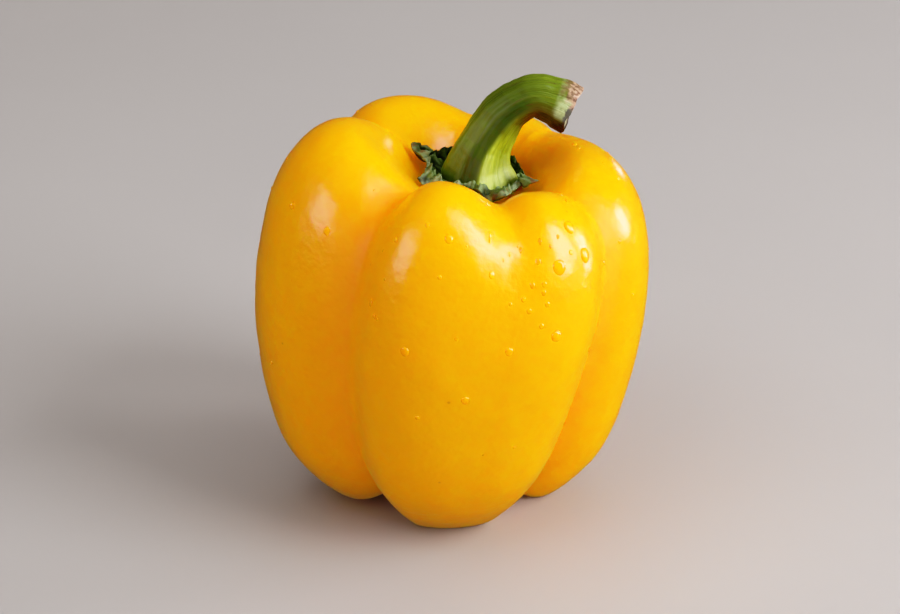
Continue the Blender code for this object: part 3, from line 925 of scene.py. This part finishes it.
def make_drops(shift, material):
    random = np.random.default_rng(DROP_SEED)
    spots = [(azimuth, height, size, DROP_STRETCH) for azimuth, height, size in FRONT_DROPS]
    for _ in range(MORE_DROPS):
        azimuth = random.uniform(0, 360)
        height = DROP_TOP - DROP_FALL * random.random() ** 1.6
        spots.append((azimuth, height, random.uniform(*DROP_SIZES), random.uniform(*DROP_STRETCHES)))
    points, faces = [], []
    for azimuth, height, size, stretch in spots:
        faces += drop_faces(sum(len(p) for p in points))
        middle, normal = skin_spot(azimuth, height)
        points += drop_points(middle, normal, size, stretch, random.uniform(*DROP_TALLNESS))
    piece = make_piece("water_drops", np.concatenate(points) + shift, faces, material)
    # Light goes through the water, so it casts no shadow on the skin
    piece.visible_shadow = False
    return piece


# Stage, camera and lights


def make_floor(material):
    """A wide floor that curves up into a backdrop far behind."""
    profile = [(FLOOR_FRONT, 0.0), (FLOOR_BEND, 0.0)]
    for turn in np.linspace(0.05, 1.5, 24):
        back = FLOOR_BEND + BACKDROP_RADIUS * math.sin(turn)
        profile.append((back, BACKDROP_RADIUS * (1 - math.cos(turn))))
    profile.append(BACKDROP_TOP)
    points = [(x, y, z) for x in (-FLOOR_HALF_WIDTH, FLOOR_HALF_WIDTH) for y, z in profile]
    count = len(profile)
    faces = [(i, i + count, i + count + 1, i + 1) for i in range(count - 1)]
    floor = make_piece("floor", np.array(points) / MM, faces, material)
    # The floor lights the pepper from below, and doesn't show in its gloss
    floor.visible_glossy = False


def aimed(item, place, target):
    item.location = place
    item.rotation_euler = (Vector(target) - Vector(place)).to_track_quat("-Z", "Y").to_euler()
    bpy.context.scene.collection.objects.link(item)
    return item


def make_camera():
    data = bpy.data.cameras.new("camera")
    data.lens = LENS
    data.sensor_width = SENSOR
    tilt = math.radians(CAMERA_TILT)
    aim = np.array(CAMERA_AIM) * MM
    back = np.array([0.0, -math.cos(tilt), math.sin(tilt)]) * CAMERA_DISTANCE * MM
    camera = aimed(bpy.data.objects.new("camera", data), tuple(aim + back), tuple(aim))
    bpy.context.scene.camera = camera


def make_light(row, colour, gloss):
    """A soft rectangular light that faces the pepper, and lights its gloss alone or all but its gloss."""
    name, azimuth, height_angle, distance, width, height, power = row
    data = bpy.data.lights.new(name, "AREA")
    data.shape = "RECTANGLE"
    data.size = width
    data.size_y = height
    data.energy = power
    data.color = colour
    turn, rise = math.radians(azimuth), math.radians(height_angle)
    away = Vector((math.cos(rise) * math.cos(turn), math.cos(rise) * math.sin(turn), math.sin(rise)))
    place = Vector(LIGHT_AIM) + distance * away
    light = aimed(bpy.data.objects.new(name, data), place, LIGHT_AIM)
    light.visible_glossy = gloss
    light.visible_diffuse = not gloss


def make_lights():
    for row in SHADE_LIGHTS:
        make_light(row, SHADE_COLOUR, False)
    for row in GLOSS_LIGHTS:
        make_light(row, GLOSS_COLOUR, True)
    world = bpy.data.worlds.new("room")
    world.use_nodes = True
    world.node_tree.nodes["Background"].inputs["Color"].default_value = (*ROOM_COLOUR, 1.0)
    world.node_tree.nodes["Background"].inputs["Strength"].default_value = ROOM_STRENGTH
    bpy.context.scene.world = world


def set_tone():
    """How light in the scene becomes brightness in the picture."""
    view = bpy.context.scene.view_settings
    view.view_transform = "Standard"
    view.use_curve_mapping = True
    curves = view.curve_mapping
    curves.white_level = (TONE_WHITE, TONE_WHITE, TONE_WHITE)
    combined = curves.curves[3]
    for before, after in TONE_CURVE:
        combined.points.new(before / TONE_WHITE, after)
    curves.update()


def frame_shift():
    """The sideways move that brings the middle of the plain form to the middle of the fruit node's box."""
    plain = skin(fruit_azimuths(), ROW_LENGTHS)
    low, high = (np.array(corner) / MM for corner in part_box("fruit"))
    shift = (low + high) / 2 - (plain.min(axis=(0, 1)) + plain.max(axis=(0, 1))) / 2
    shift[2] = 0.0
    return shift


def main():
    shift = frame_shift()
    fruit = make_fruit(shift, skin_material())
    calyx, foot = make_calyx(shift, calyx_material())
    stem = make_stem(shift, foot, stem_material())
    drops = make_drops(shift, water_material())
    for piece, node, slot in ((fruit, "fruit", "skin"), (calyx, "calyx", "calyx"), (stem, "stem", "stem")):
        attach(piece, "root")
        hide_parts(node)
    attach(drops, "root")
    make_floor(floor_material())
    make_camera()
    make_lights()
    set_tone()
    bpy.context.scene.cycles.use_denoising = True


main()
